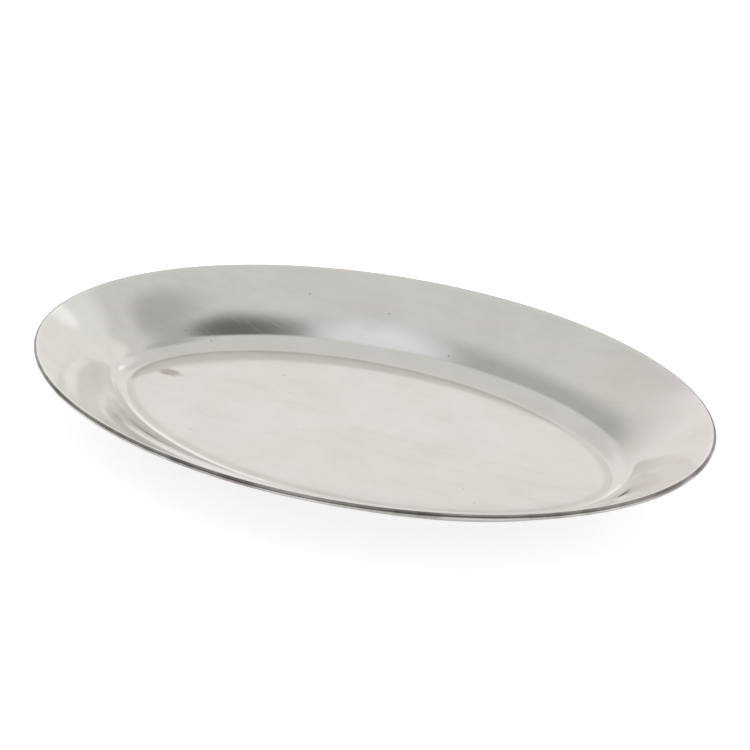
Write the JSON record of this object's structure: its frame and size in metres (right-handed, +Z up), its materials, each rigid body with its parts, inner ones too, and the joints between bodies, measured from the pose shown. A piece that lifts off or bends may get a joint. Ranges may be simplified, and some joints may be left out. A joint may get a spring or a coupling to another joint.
{
  "type": "oval serving tray",
  "caption": "Plain oval metal serving tray: a flat well, a smooth rising wall, a wide sloping rim and a rolled round edge stiffened by a wire, for carrying and presenting food.",
  "frame": {"origin": "centre of the flat bottom, on the surface the tray stands on", "axes": "+X along the tray's length, +Y across it, +Z up out of the well"},
  "size_m": [0.406, 0.249, 0.0371],
  "materials": {
    "polished_plate": "polished plate with light service wear, warm grey mirror",
    "edge_wire": "drawn steel wire, unpolished"
  },
  "bodies": {
    "root": {"tray_body": "polished_plate", "rim_wire": "edge_wire"}
  },
  "joints": []
}
